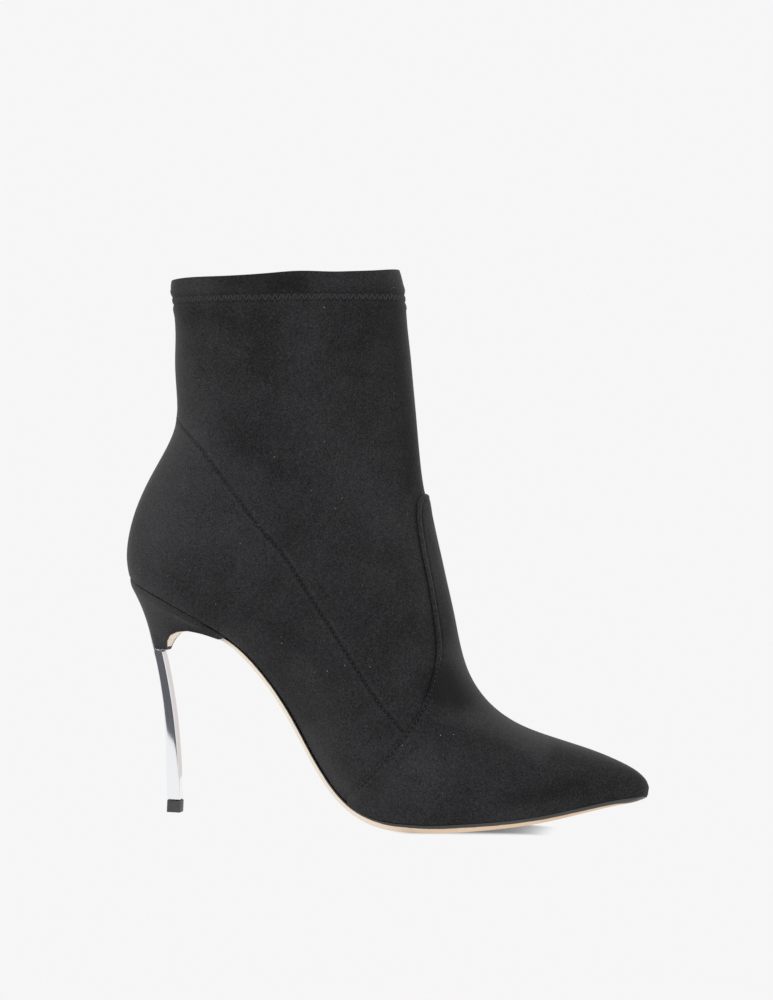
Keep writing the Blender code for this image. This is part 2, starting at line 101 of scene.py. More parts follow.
def copyNode(part, name):                       # merged, with its triangles paired into quads again
    made = addObject(name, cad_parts[part].data.copy())
    made.data.name = name
    made.data.materials.clear()
    selectFaces(made, lambda face: True)
    bpy.ops.mesh.remove_doubles(threshold=0.002 * mm)
    bpy.ops.mesh.tris_convert_to_quads(face_threshold=math.pi, shape_threshold=math.pi,
                                       topology_influence=2.0)
    bpy.ops.object.mode_set(mode="OBJECT")
    return made


def creaseSharp(obj, degrees, amount):
    pick(obj)
    bpy.ops.object.mode_set(mode="EDIT")
    bpy.ops.mesh.select_mode(type="EDGE")
    bpy.ops.mesh.select_all(action="DESELECT")
    bpy.ops.mesh.edges_select_sharp(sharpness=math.radians(degrees))
    bpy.ops.transform.edge_crease(value=amount)
    bpy.ops.object.mode_set(mode="OBJECT")


def soften(obj, levels):                        # finer and rounder, applied
    useModifier(obj, "SUBSURF", levels=levels, render_levels=levels)


def smoothShade(obj, degrees=40):
    pick(obj)
    bpy.ops.object.shade_smooth_by_angle(angle=math.radians(degrees))


def surfaceOf(obj):
    mesh = obj.data
    return BVHTree.FromPolygons([v.co for v in mesh.vertices], [p.vertices[:] for p in mesh.polygons])


def softPath(points, step):                     # evenly spaced places on a smooth curve through the points
    ends = [points[0]] + list(points) + [points[-1]]
    cuts = 24
    dense = []
    for a, b, c, d in zip(ends, ends[1:], ends[2:], ends[3:]):
        for n in range(cuts):
            t = n / cuts
            dense.append([0.5 * (2 * q + (r - p) * t + (2 * p - 5 * q + 4 * r - s) * t * t
                                 + (3 * q - p - 3 * r + s) * t ** 3) for p, q, r, s in zip(a, b, c, d)])
    dense.append(list(points[-1]))
    even = [dense[0]]
    left = step
    for a, b in zip(dense, dense[1:]):
        length = math.dist(a, b)
        while length > 0 and left <= length:
            a = [p + (q - p) * left / length for p, q in zip(a, b)]
            even.append(a)
            length = math.dist(a, b)
            left = step
        left -= length
    return even


def layOnSide(tree, points, side, step=0.5):    # an (x, z) line seen from one side, laid on the surface
    laid = []
    for x, z in softPath(points, step):
        place, normal, *_ = tree.ray_cast(Vector((x, side * 120, z)) * mm, Vector((0, -side, 0)))
        if place:
            laid.append((place, normal))
    return laid


def kdOf(places):
    tree = KDTree(len(places))
    for n, place in enumerate(places):
        tree.insert(place, n)
    tree.balance()
    return tree


def ramp(value, low, high):                     # 0 at low, 1 at high, and level beyond them
    return min(max((value - low) / (high - low), 0.0), 1.0)


def follow(rows, value):                        # rows rise in their first number; gives the rest, eased
    for a, b in zip(rows, rows[1:]):
        if value <= b[0]:
            t = ramp(value, a[0], b[0])
            t = t * t * (3 - 2 * t)
            return [p + (q - p) * t for p, q in zip(a[1:], b[1:])]
    return list(rows[-1][1:])


def material(name, slot, **values):
    made = bpy.data.materials.new(name)
    made.use_nodes = True
    shader = made.node_tree.nodes["Principled BSDF"]
    for key, value in values.items():
        shader.inputs[key].default_value = value
    made["slot"] = slot
    return made, made.node_tree, shader


def node(tree, kind, place=(0, 0), inputs=None, **values):
    made = tree.nodes.new(kind)
    made.location = place
    for key, value in values.items():
        setattr(made, key, value)
    for key, value in (inputs or {}).items():
        made.inputs[key].default_value = value
    return made


def finishPiece(piece, slot, *nodes):           # rides on the shoe, stands for its CAD nodes
    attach(piece, "root")
    if nodes:
        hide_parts(*nodes)


# Shader groups that several finishes share

def newGroup(name, inputs, outputs):
    tree = bpy.data.node_groups.new(name, "ShaderNodeTree")
    for label, kind, value in inputs:
        socket = tree.interface.new_socket(label, in_out="INPUT", socket_type=kind)
        socket.default_value = value
    for label, kind in outputs:
        tree.interface.new_socket(label, in_out="OUTPUT", socket_type=kind)
    start = node(tree, "NodeGroupInput", (-900, 0))
    end = node(tree, "NodeGroupOutput", (900, 0))
    return tree, start.outputs, end.inputs


def ownPlaces(tree):                            # the object's own coordinates, in metres
    return node(tree, "ShaderNodeTexCoord", (-1300, -300)).outputs["Object"]


def noise(tree, vector, scale, detail, roughness=0.5, place=(0, 0)):
    values = {"Scale": scale, "Detail": detail, "Roughness": roughness}
    made = node(tree, "ShaderNodeTexNoise", place, values)
    tree.links.new(vector, made.inputs["Vector"])
    return made.outputs["Fac"]


def maths(tree, operation, a, b=None, clamp=False, place=(0, 0)):
    made = node(tree, "ShaderNodeMath", place, operation=operation, use_clamp=clamp)
    for n, value in enumerate((a, b)):
        if value is None:
            continue
        if isinstance(value, (int, float)):
            made.inputs[n].default_value = value
        else:
            tree.links.new(value, made.inputs[n])
    return made.outputs[0]


def mixColour(tree, factor, a, b, place=(0, 0)):
    made = node(tree, "ShaderNodeMix", place, data_type="RGBA")
    for socket, value in ((made.inputs[0], factor), (made.inputs[6], a), (made.inputs[7], b)):
        if hasattr(value, "is_linked"):
            tree.links.new(value, socket)
        else:
            socket.default_value = value
    return made.outputs[2]


def between(tree, value, low, high, place=(0, 0)):   # 0 at low, 1 at high, soft
    made = node(tree, "ShaderNodeMapRange", place, {"From Min": low, "From Max": high},
                interpolation_type="SMOOTHSTEP")
    tree.links.new(value, made.inputs["Value"])
    return made.outputs["Result"]


def sway(tree, value, amount):                  # a noise turned into a change about 0
    return maths(tree, "MULTIPLY", maths(tree, "SUBTRACT", value, 0.5), amount)


napLook = {
    # size of the noise per metre, its detail and roughness, and how far it changes the lie
    "fibre": (2600, 3, 0.65, 3.4), "clump": (1300, 2, 0.6, 1.1), "tuft": (650, 2, 0.6, 0.6),
    "brushed": (120, 3, 0.6, 0.45), "cloud": (28, 3, 0.55, 1.3),
    "gain": 0.56, "level": 0.28,                # from the nap's tone and painted light to the share of the light colour
    "lintCells": 380, "lintFrom": 0.70, "lintSize": 0.095, "lintFade": 1.6,
}


def buildNapGroup():                            # brushed short nap: the fibres' lie, with the painted light and shade laid on it, lint and grain
    look = napLook
    tree, given, out = newGroup(
        "shortNap",
        [("Dark", "NodeSocketColor", (0.012, 0.012, 0.013, 1)),
         ("Light", "NodeSocketColor", (0.03, 0.03, 0.031, 1)),
         ("NapAndPaintedLight", "NodeSocketFloat", 0.0), ("Lint", "NodeSocketFloat", 1.0)],
        [("Colour", "NodeSocketColor"), ("Height", "NodeSocketFloat"), ("Lint", "NodeSocketFloat")])
    places = ownPlaces(tree)
    grains = {}
    lie = given["NapAndPaintedLight"]
    for n, name in enumerate(("cloud", "brushed", "tuft", "clump", "fibre")):
        scale, detail, rough, amount = look[name]
        grains[name] = noise(tree, places, scale, detail, rough, (-600, 150 * n - 400))
        lie = maths(tree, "ADD", lie, sway(tree, grains[name], amount), place=(-300, 150 * n - 400))
    shade = maths(tree, "ADD", maths(tree, "MULTIPLY", lie, look["gain"]), look["level"], clamp=True)
    specks = node(tree, "ShaderNodeTexVoronoi", (-600, -700), {"Scale": look["lintCells"]})
    tree.links.new(places, specks.inputs["Vector"])
    rare = node(tree, "ShaderNodeSeparateColor", (-400, -700))
    tree.links.new(specks.outputs["Color"], rare.inputs["Color"])
    size = maths(tree, "MULTIPLY", maths(tree, "GREATER_THAN", rare.outputs["Red"], look["lintFrom"]),
                 maths(tree, "MULTIPLY", rare.outputs["Green"], look["lintSize"]))
    lint = maths(tree, "LESS_THAN", specks.outputs["Distance"], size, place=(-100, -700))
    faint = maths(tree, "POWER", rare.outputs["Blue"], look["lintFade"])
    lint = maths(tree, "MULTIPLY", lint, maths(tree, "MULTIPLY", faint, given["Lint"]), place=(0, -700))
    tree.links.new(mixColour(tree, shade, given["Dark"], given["Light"], (300, 0)), out["Colour"])
    height = maths(tree, "ADD", maths(tree, "MULTIPLY", grains["tuft"], 0.6), grains["fibre"])
    tree.links.new(height, out["Height"])
    tree.links.new(lint, out["Lint"])
    return tree


def buildGrainGroup():                          # fine pores and wrinkles of smooth leather
    tree, given, out = newGroup(
        "leatherGrain",
        [("Scale", "NodeSocketFloat", 900.0), ("Colour", "NodeSocketColor", (0.5, 0.35, 0.2, 1)),
         ("Deep", "NodeSocketColor", (0.4, 0.25, 0.14, 1))],
        [("Colour", "NodeSocketColor"), ("Height", "NodeSocketFloat"), ("Roughness", "NodeSocketFloat")])
    places = ownPlaces(tree)
    pores = node(tree, "ShaderNodeTexVoronoi", (-500, 200), feature="DISTANCE_TO_EDGE")
    tree.links.new(places, pores.inputs["Vector"])
    tree.links.new(given["Scale"], pores.inputs["Scale"])
    mottle = noise(tree, places, 60, 4, 0.6, (-500, -200))
    fine = noise(tree, places, 1500, 2, 0.6, (-500, -400))
    pit = between(tree, pores.outputs["Distance"], 0.0, 0.12, (-250, 200))
    colour = mixColour(tree, between(tree, mottle, 0.3, 0.7), given["Deep"], given["Colour"], (300, 0))
    tree.links.new(colour, out["Colour"])
    tree.links.new(maths(tree, "ADD", pit, maths(tree, "MULTIPLY", fine, 0.5)), out["Height"])
    tree.links.new(maths(tree, "ADD", maths(tree, "MULTIPLY", mottle, 0.2), 0.4), out["Roughness"])
    return tree


napGroup = buildNapGroup()
grainGroup = buildGrainGroup()


def bumpInto(tree, shader, height, look):
    values = {"Strength": look["bump"], "Distance": look["depth"] * mm}
    bump = node(tree, "ShaderNodeBump", (-250, -300), values)
    tree.links.new(height, bump.inputs["Height"])
    tree.links.new(bump.outputs["Normal"], shader.inputs["Normal"])


suedeFinish = {
    "dark": (0.0078, 0.0070, 0.0080, 1), "light": (0.0545, 0.0530, 0.0565, 1), "lint": (0.35, 0.34, 0.33, 1),
    "bump": 0.55, "depth": 0.12,
    "shader": {"Roughness": 0.93, "Specular IOR Level": 0.18, "Sheen Weight": 0.16, "Sheen Roughness": 0.45,
               "Sheen Tint": (0.75, 0.72, 0.69, 1)},
}


def makeSuede():
    look = suedeFinish
    made, tree, shader = material("suede", "suede", **look["shader"])
    colours = {"Dark": look["dark"], "Light": look["light"]}
    nap = node(tree, "ShaderNodeGroup", (-700, 0), colours, node_tree=napGroup)
    # the nap's tone together with the painted light and shade laid on the skin's points
    lie = node(tree, "ShaderNodeAttribute", (-950, 0), attribute_name="lie")
    tree.links.new(lie.outputs["Fac"], nap.inputs["NapAndPaintedLight"])
    colour = mixColour(tree, nap.outputs["Lint"], nap.outputs["Colour"], look["lint"], (-300, 100))
    tree.links.new(colour, shader.inputs["Base Color"])
    bumpInto(tree, shader, nap.outputs["Height"], look)
    return made


threadFinish = {
    "dark": (0.017, 0.017, 0.018, 1), "light": (0.056, 0.055, 0.057, 1), "twist": 1400,
    "bump": 0.5, "depth": 0.06, "shader": {"Roughness": 0.55, "Specular IOR Level": 0.35},
}


def makeThread():
    look = threadFinish
    made, tree, shader = material("blackThread", "suede", **look["shader"])
    twist = node(tree, "ShaderNodeTexWave", (-500, -200), {"Scale": look["twist"], "Distortion": 1.5},
                 bands_direction="DIAGONAL")
    places = ownPlaces(tree)
    tree.links.new(places, twist.inputs["Vector"])
    shade = mixColour(tree, twist.outputs["Fac"], look["dark"], look["light"])
    tree.links.new(shade, shader.inputs["Base Color"])
    bumpInto(tree, shader, twist.outputs["Fac"], look)
    return made


def addGrain(tree, look):
    values = {"Scale": look["pores"], "Colour": look["leather"], "Deep": look["deep"]}
    return node(tree, "ShaderNodeGroup", (-900, 0), values, node_tree=grainGroup)


soleLeather = {
    "leather": (0.80, 0.59, 0.41, 1), "deep": (0.72, 0.50, 0.33, 1), "paintedPaleLeather": (0.96, 0.87, 0.75, 1),
    "ink": (0.010, 0.009, 0.009, 1), "wornInk": (0.03, 0.027, 0.024, 1),
    "pores": 1100, "paintedPaleShare": 0.8, "raggedInk": 0.35, "inkSoft": 0.09,
    "inkGloss": 0.18, "coat": 0.15, "inkCoat": 0.45, "bump": 0.2, "depth": 0.08,
}


def makeSoleFinish():                           # natural leather, its edge inked black down to a soft line, painted paler towards the heel as painted light
    look = soleLeather
    made, tree, shader = material("soleFinish", "sole_leather", **{"Coat Roughness": 0.2})
    grain = addGrain(tree, look)
    # painted light: the leather is made paler from the heel to the waist
    paintedPale = node(tree, "ShaderNodeAttribute", (-900, 300), attribute_name="paintedPale")
    paintedPaleMix = maths(tree, "MULTIPLY", paintedPale.outputs["Fac"], look["paintedPaleShare"])
    leather = mixColour(tree, paintedPaleMix, grain.outputs["Colour"], look["paintedPaleLeather"], (-600, 200))
    places = ownPlaces(tree)
    uneven = noise(tree, places, 260, 3, 0.6, (-900, -400))
    ink = node(tree, "ShaderNodeAttribute", (-900, -700), attribute_name="ink")
    edge = maths(tree, "ADD", ink.outputs["Fac"], sway(tree, uneven, look["raggedInk"]))
    inked = between(tree, edge, -look["inkSoft"], look["inkSoft"], (-400, -600))
    black = mixColour(tree, uneven, look["ink"], look["wornInk"], (-600, -300))
    tree.links.new(mixColour(tree, inked, leather, black, (-200, 0)), shader.inputs["Base Color"])
    gloss = maths(tree, "MULTIPLY", inked, look["inkGloss"])
    tree.links.new(maths(tree, "SUBTRACT", grain.outputs["Roughness"], gloss), shader.inputs["Roughness"])
    coat = maths(tree, "MULTIPLY", inked, look["inkCoat"])
    tree.links.new(maths(tree, "ADD", coat, look["coat"]), shader.inputs["Coat Weight"])
    bumpInto(tree, shader, maths(tree, "ADD", grain.outputs["Height"], uneven), look)
    return made


jersey = {
    "rib": 900, "deep": (0.010, 0.010, 0.010, 1), "raised": (0.028, 0.027, 0.027, 1),
    "bump": 0.4, "depth": 0.1,
    "shader": {"Roughness": 0.8, "Sheen Weight": 0.2, "Sheen Roughness": 0.4},
}


def makeLining():                               # black jersey inside the shaft
    look = jersey
    made, tree, shader = material("lining", "suede", **look["shader"])
    places = ownPlaces(tree)
    rows = []
    for direction in "ZX":
        wave = node(tree, "ShaderNodeTexWave", (-700, -300 * len(rows)),
                    {"Scale": look["rib"], "Distortion": 2.0, "Detail": 1.0}, bands_direction=direction)
        tree.links.new(places, wave.inputs["Vector"])
        rows.append(wave.outputs["Fac"])
    knit = maths(tree, "MULTIPLY", *rows)
    tree.links.new(mixColour(tree, knit, look["deep"], look["raised"]), shader.inputs["Base Color"])
    bumpInto(tree, shader, knit, look)
    return made


sockFinish = {
    "pores": 700, "leather": (0.56, 0.42, 0.30, 1), "deep": (0.48, 0.35, 0.24, 1), "coat": 0.1,
    "bump": 0.25, "depth": 0.08,
}


def makeSock():
    look = sockFinish
    made, tree, shader = material("sockLeather", "sock_leather", **{"Coat Weight": look["coat"]})
    grain = addGrain(tree, look)
    tree.links.new(grain.outputs["Colour"], shader.inputs["Base Color"])
    tree.links.new(grain.outputs["Roughness"], shader.inputs["Roughness"])
    bumpInto(tree, shader, grain.outputs["Height"], look)
    return made


steelFinish = {
    "colour": (0.92, 0.935, 0.95, 1), "hairlines": 3000, "drawnOut": 0.12,
    "smears": 90, "smeared": 0.07, "clean": 0.02, "bump": 0.04, "depth": 0.02,
}


def makeMirrorSteel():
    look = steelFinish
    values = {"Metallic": 1.0, "Base Color": look["colour"]}
    made, tree, shader = material("mirrorSteel", "polished_metal", **values)
    places = ownPlaces(tree)
    stretched = node(tree, "ShaderNodeMapping", (-900, -200), {"Scale": (1, 1, look["drawnOut"])})
    tree.links.new(places, stretched.inputs["Vector"])
    hairlines = noise(tree, stretched.outputs["Vector"], look["hairlines"], 2, 0.5, (-650, -100))
    smears = noise(tree, places, look["smears"], 3, 0.6, (-650, -350))
    rough = maths(tree, "ADD", maths(tree, "MULTIPLY", smears, look["smeared"]), look["clean"])
    tree.links.new(rough, shader.inputs["Roughness"])
    bumpInto(tree, shader, hairlines, look)
    return made


rubberFinish = {
    "black": (0.035, 0.036, 0.036, 1), "dusty": (0.085, 0.086, 0.084, 1), "dust": 500, "grain": 2400,
    "bump": 0.3, "depth": 0.06, "shader": {"Roughness": 0.55, "Specular IOR Level": 0.4},
}


def makeRubber():
    look = rubberFinish
    made, tree, shader = material("tipRubber", "rubber", **look["shader"])
    places = ownPlaces(tree)
    dust = noise(tree, places, look["dust"], 3, 0.6, (-600, 0))
    tree.links.new(mixColour(tree, dust, look["black"], look["dusty"]), shader.inputs["Base Color"])
    grain = noise(tree, places, look["grain"], 2, 0.5, (-600, -250))
    bumpInto(tree, shader, grain, look)
    return made


suede = makeSuede()
thread = makeThread()
soleFinish = makeSoleFinish()
lining = makeLining()
sockLeather = makeSock()
mirrorSteel = makeMirrorSteel()
tipRubber = makeRubber()
say("finishes ready")


# The solids stand within 2 mm of the real outline. The rest is drawn out here, alike for every piece.

fitLook = {
    # height, and how far the back is drawn in there or, below 0, stands out
    "back": ((64, 0), (90, 0.5), (110, -0.3), (135, -0.5), (167, 1.0), (190, -0.2), (210, 0.7), (228, -0.2)),
    "backX": -14,
    # height, and how far the shin stands out there
    "shin": ((64, 0), (90, 0.45), (200, 0.35), (228, 0.15)),
    "shinX": 98,
    # height on the arch, and how far its sole line is drawn in
    "arch": ((0, 0), (18, 1.1), (48, 0.95), (80, 0)),
    "archWay": (0.84, 0, 0.54), "archReach": 22,
    "archEnds": (100, 115),                     # it fades out between these X
    # the slack collar edge: X, and how far it rises
    "collar": ((-12, -0.6), (-2, 0.2), (15, -0.8), (30, -0.6), (49, 0.55), (63, -0.2), (76, 0.4), (89, 1.7)),
    "collarFrom": (224, 232), "farCollar": 0.6,
}
soleTree = surfaceOf(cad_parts["outsole"])


def fitToOutline(obj):
    look = fitLook
    way = Vector(look["archWay"])
    for vertex in obj.data.vertices:
        x, y, z = vertex.co / mm
        back = follow(look["back"], z)[0]
        shin = follow(look["shin"], z)[0]
        share = ramp(x, look["backX"], look["shinX"])
        near, facing, index, away = soleTree.find_nearest(vertex.co)
        left = 1 - ramp(away / mm, 0, look["archReach"])
        left = left * left * (3 - 2 * left)
        left *= 1 - ramp(near.x / mm, *look["archEnds"])
        rise = follow(look["collar"], x)[0] * ramp(z, *look["collarFrom"]) ** 2
        if y > 0:
            rise *= look["farCollar"]
        move = way * follow(look["arch"], near.z / mm)[0] * left
        vertex.co += (move + Vector((back + (shin - back) * share, 0, rise))) * mm


# Upper: shaft and quarters in one stretch skin

upperLook = {
    "axis": ((196, 2, 23), (150, 1, 25), (116, 0, 40), (88, 0, 78), (50, 0, 112), (38, 0, 150),
             (40, 0, 236)),
    "sharp": 50,
    "wall": 3.5,                                # a face with no wall this close behind it is a rim
    "levels": 2,
    "rimCrease": 0.9,
    "hemInside": 222.0,                         # the suede is turned in down to here
}


def fromAxis(place):                            # the way from the foot's middle line out to a place
    best = None
    points = [Vector(p) * mm for p in upperLook["axis"]]
    for a, b in zip(points, points[1:]):
        share = max(0.0, min(1.0, (place - a).dot(b - a) / (b - a).length_squared))
        away = place - (a + (b - a) * share)
        if best is None or away.length < best.length:
            best = away
    return best


def sortWalls(obj):                             # 0 outer wall, 1 inner wall, 2 sole and collar rims
    tree = surfaceOf(obj)
    kinds = []
    for face in obj.data.polygons:
        inward = -face.normal
        behind = tree.ray_cast(face.center + inward * 0.02 * mm, inward, upperLook["wall"] * mm)[0]
        outer = face.normal.dot(fromAxis(face.center)) > 0
        kinds.append(2 if behind is None else (0 if outer else 1))
    return kinds


upper = copyNode("upper", "bootUpper")
wallKinds = sortWalls(upper)
fitToOutline(upper)
for finish in (suede, lining):
    upper.data.materials.append(finish)
for face, kind in zip(upper.data.polygons, wallKinds):
    inside = kind == 1 and face.center.z < upperLook["hemInside"] * mm
    face.material_index = 1 if inside else 0
boot = addObject("bootForm", upper.data.copy())               # the outer wall alone, for what lies on it
creaseSharp(upper, upperLook["sharp"], upperLook["rimCrease"])
soften(upper, upperLook["levels"])

dropFaces(boot, lambda face: wallKinds[face.index] != 0)
soften(boot, upperLook["levels"])
bootTree = surfaceOf(boot)


# Lines that are laid on the boot's skin

def ringOnShaft(tree, centre, height, slope, turns):         # a line round the shaft, sloping with X
    laid = []
    for n in range(turns):
        angle = 2 * math.pi * n / turns
        way = Vector((math.cos(angle), math.sin(angle), 0))
        x = centre
        for again in range(3):
            z = height + slope * x
            place, normal, *rest = tree.ray_cast(Vector((centre, 0, z)) * mm + way * 120 * mm, -way)
            x = place.x / mm
        laid.append((place, normal))
    return laid


def refineNear(obj, laid, reach, cuts):         # finer faces along a line
    tree = kdOf([place for place, normal in laid])

    def close(face):
        place, index, away = tree.find(face.center)
        return away < reach * mm and face.normal.dot(laid[index][1]) > 0.2
    selectFaces(obj, close)
    bpy.ops.mesh.subdivide(number_cuts=cuts, smoothness=0)
    bpy.ops.object.mode_set(mode="OBJECT")


def shapeAlong(obj, laid, reach, profile):      # raises or sinks the skin by the distance from a line
    tree = kdOf([place for place, normal in laid])
    normals = [v.normal.copy() for v in obj.data.vertices]
    for vertex, normal in zip(obj.data.vertices, normals):
        place, index, away = tree.find(vertex.co)
        if away < reach * mm and normal.dot(laid[index][1]) > 0.1:
            vertex.co += normal * profile(away / mm) * mm


def bell(away, width):
    return math.exp(-(away / width) ** 2)


seamLook = {
    "line": ((-6.5, 170.5), (1.3, 164.1), (9.6, 156.6), (23.5, 140.3), (36.3, 124.9), (47.9, 112.4),
             (59.1, 96.6), (67.3, 85.7), (77.4, 71.5), (91.1, 53.5), (102.1, 42.2)),
    "groove": 0.24, "grooveAt": 0, "grooveWidth": 0.5, "puff": 0.12, "puffAt": 1.6, "puffWidth": 0.9,
    "reach": 3.4, "cuts": 3,
}
hemLook = {
    "centre": 39, "height": 219.9, "slope": 0.052, "turns": 720, "band": 3.0,
    "groove": 0.30, "grooveAt": 1.5, "grooveWidth": 0.7, "puff": 0.3, "puffAt": 3.9, "puffWidth": 1.3,
    "reach": 4.8, "cuts": 3,
}

seamLines = [layOnSide(bootTree, seamLook["line"], side) for side in (-1, 1)]
hemLine = ringOnShaft(bootTree, hemLook["centre"], hemLook["height"], hemLook["slope"], hemLook["turns"])

for line in seamLines:
    refineNear(upper, line, seamLook["reach"], seamLook["cuts"])
refineNear(upper, hemLine, hemLook["reach"], hemLook["cuts"])


def sinkSeam(obj, laid, look):                  # a groove with the skin puffed up beside it
    def profile(away):
        sunk = look["groove"] * bell(away - look["grooveAt"], look["grooveWidth"])
        return look["puff"] * bell(away - look["puffAt"], look["puffWidth"]) - sunk
    shapeAlong(obj, laid, look["reach"], profile)


for line in seamLines:
    sinkSeam(upper, line, seamLook)
sinkSeam(upper, hemLine, hemLook)

# Soft troughs and ridges where the skin gives: line seen from the side, depth, half width
folds = (
    (-1, ((19, 213), (30, 204), (36, 192)), -0.5, 7),
    (-1, ((-2, 216), (10, 213), (22, 209)), -0.35, 4),
    (-1, ((14, 172), (30, 157), (48, 146)), -0.45, 6),
    (-1, ((4, 190), (24, 178), (52, 170)), 0.3, 7),
    (-1, ((-12, 101), (12, 92), (33, 87), (56, 75), (68, 62)), -0.35, 6),
    (-1, ((68, 214), (74, 190), (76, 165)), -0.3, 6),
    (-1, ((84, 44), (90, 34)), -0.35, 6),
    (1, ((16, 210), (32, 200), (44, 186)), -0.5, 7),
    (1, ((-2, 178), (16, 165), (40, 152)), -0.45, 6),
    (1, ((70, 210), (72, 180), (66, 160)), -0.35, 7),
    (1, ((-10, 102), (14, 93), (40, 84), (62, 68)), -0.35, 6),
    (1, ((60, 120), (76, 104), (90, 96)), -0.35, 6),
)


def foldAlong(obj, side, line, depth, width):
    laid = layOnSide(bootTree, line, side, 1.0)
    shapeAlong(obj, laid, width * 2.5, lambda away: depth * bell(away, width))


for fold in folds:
    foldAlong(upper, *fold)

# Patches of the nap's tone and of painted light: line seen from the outer side, half width, darker below 0
# and lighter above. Besides real patches of the nap they paint a lighter back and heel, darker front edges,
# a painted sheen along the instep and the arch edge, and painted shade in the folds and in the dimple on the
# instep
napAndLightPatches = (
    (((38, 227), (50, 227.5)), 4, -0.42),
    (((1, 214),), 5, -0.36),
    (((17, 212), (22, 209)), 5, -0.42),
    (((35, 208), (36, 192)), 10, -0.46),
    (((20, 168), (32, 156), (45, 148)), 6, -0.34),
    (((46, 121),), 8, -0.2),
    (((25, 116), (24, 108)), 3.5, -0.2),
    (((-12, 103), (12, 94), (33, 88), (56, 76), (70, 63)), 5, -0.24),
    (((80, 216),), 12, -0.24),
    (((3, 226), (10, 226)), 7, 0.28),
    (((-2, 200), (-2, 184)), 9, 0.2),
    (((88, 224), (93, 190), (97, 160), (100, 144)), 5, -0.5),
    (((52, 172),), 13, 0.14),
    (((33, 141),), 8, 0.12),
    (((0, 156), (-3, 148), (-9, 128), (-12, 108), (-8, 92)), 16, 0.78),
    (((25, 142), (46, 108)), 30, 0.13),
    (((-22, 98), (-16, 84), (-12, 74)), 8, 0.45),
    (((22, 76), (36, 62), (50, 46), (66, 26), (82, 10)), 4.5, 0.45),
    (((74, 38), (95, 26)), 12, 0.24),
    (((117, 62), (124, 57)), 6.5, -1.15),
    (((115, 98), (118, 82)), 4.5, -0.4),
    (((114, 124), (118, 104), (122, 84)), 4, -0.4),
    (((147, 17), (160, 18.5), (176, 23)), 4.2, -0.42),
    (((122, 50), (140, 46), (160, 38)), 5, 0.45),
    (((108, 36), (116, 28)), 8, 0.2),
    (((120, 14), (150, 12)), 9, 0.12),
    (((70, 60), (92, 60)), 12, 0.08),
)
# They fade out this near the middle line, and come out otherwise on the far side
patchSides = {"middle": 6, "seed": 7, "shiftX": 14, "shiftZ": 9, "fainter": 0.6}


def paintNapAndLight(obj):
    chance = random.Random(patchSides["seed"])
    sets = []
    for points, width, strength in napAndLightPatches:
        near = softPath(points, 1.5) if len(points) > 1 else points
        shiftX = chance.uniform(-patchSides["shiftX"], patchSides["shiftX"])
        shiftZ = chance.uniform(-patchSides["shiftZ"], patchSides["shiftZ"])
        far = [(x + shiftX, z + shiftZ) for x, z in near]
        sets.append(((near, far), width, strength * chance.uniform(0.6, 1.0) / 0.8))
    values = []
    for vertex in obj.data.vertices:
        x, y, z = vertex.co / mm
        total = 0.0
        for (near, far), width, strength in sets:
            reach = width * 2.2
            points = near if y < 0 else far
            low, high = sorted((points[0][0], points[-1][0]))
            if not low - reach < x < high + reach:
                continue
            away = min(math.hypot(x - a, z - b) for a, b in points)
            if away < reach:
                shown = 1.0 if y < 0 else patchSides["fainter"]
                total += strength * bell(away, width) * min(abs(y) / patchSides["middle"], 1.0) * shown
        values.append(total)
    lie = obj.data.attributes.new("lie", "FLOAT", "POINT")
    lie.data.foreach_set("value", values)


def shadeBy(obj, tree, amount, reach):          # adds painted shade and painted highlights to the nap's tone by the distance from a line
    lie = obj.data.attributes["lie"]
    for vertex, value in zip(obj.data.vertices, lie.data):
        place, index, away = tree.find(vertex.co)
        if away < reach * mm:
            value.value += amount(away / mm, vertex.co / mm)


def pullHoles(obj, spans, look):                # the needle's holes at both ends of every stitch: sunk, and darkened with painted shade
    tree = kdOf([end for span in spans for end in span[:2]])
    lie = obj.data.attributes["lie"]
    normals = [v.normal.copy() for v in obj.data.vertices]
    for vertex, normal, value in zip(obj.data.vertices, normals, lie.data):
        place, index, away = tree.find(vertex.co)
        if away < 3 * look["hole"] * mm:
            share = bell(away / mm, look["hole"])
            vertex.co -= normal * look["pull"] * share * mm
            # painted shade in the hole
            value.value -= look["dark"] * share


paintNapAndLight(upper)


def seamShade(away, place):                     # painted shade in the seam, painted highlight on the puffed edges
    return 0.14 * bell(away - 1.7, 0.9) - 0.5 * bell(away, 0.6)


shadeBy(upper, kdOf([place for line in seamLines for place, normal in line]), seamShade, 4)
smoothShade(upper)
finishPiece(upper, "suede", "upper")
say(f"upper: {len(upper.data.polygons)} faces")


# Vamp: the overlay on toe and instep, cut to its side outline, with a rolled edge up the ankle

vampLook = {
    "edge": ((77.0, 4.0), (79.5, 13.0), (84.0, 18.0), (95.6, 31.7), (106.0, 46.0), (111.4, 58.5),
             (113.6, 72.0), (112.6, 84.0), (109.0, 101.0), (104.5, 118.0), (102.2, 128.0),
             (101.3, 135.0), (101.9, 139.6), (104.0, 142.0), (107.5, 142.6)),
    "blank": (60, 160),                         # cut from the skin in front of this X and below this height
    "lift": 0.08, "thick": 1.32, "margin": 20,
    "edgeTurn": 0.75, "edgeRound": 0.9,         # how deep and how wide the cut edge is turned over
    "beadTop": (56.0, 84.0),                    # the rolled edge fades in between these heights
    "bead": 0.34, "beadWidth": 2.3, "beadRound": 0.75, "beadGroove": 0.3,
    "tabTop": (134.0, 141.0), "tabTurn": 0.45, "tabRound": 2.4,
    "lapGroove": 0.26, "lapAt": 1.1,
    "reach": 5.2, "cuts": 3,
}


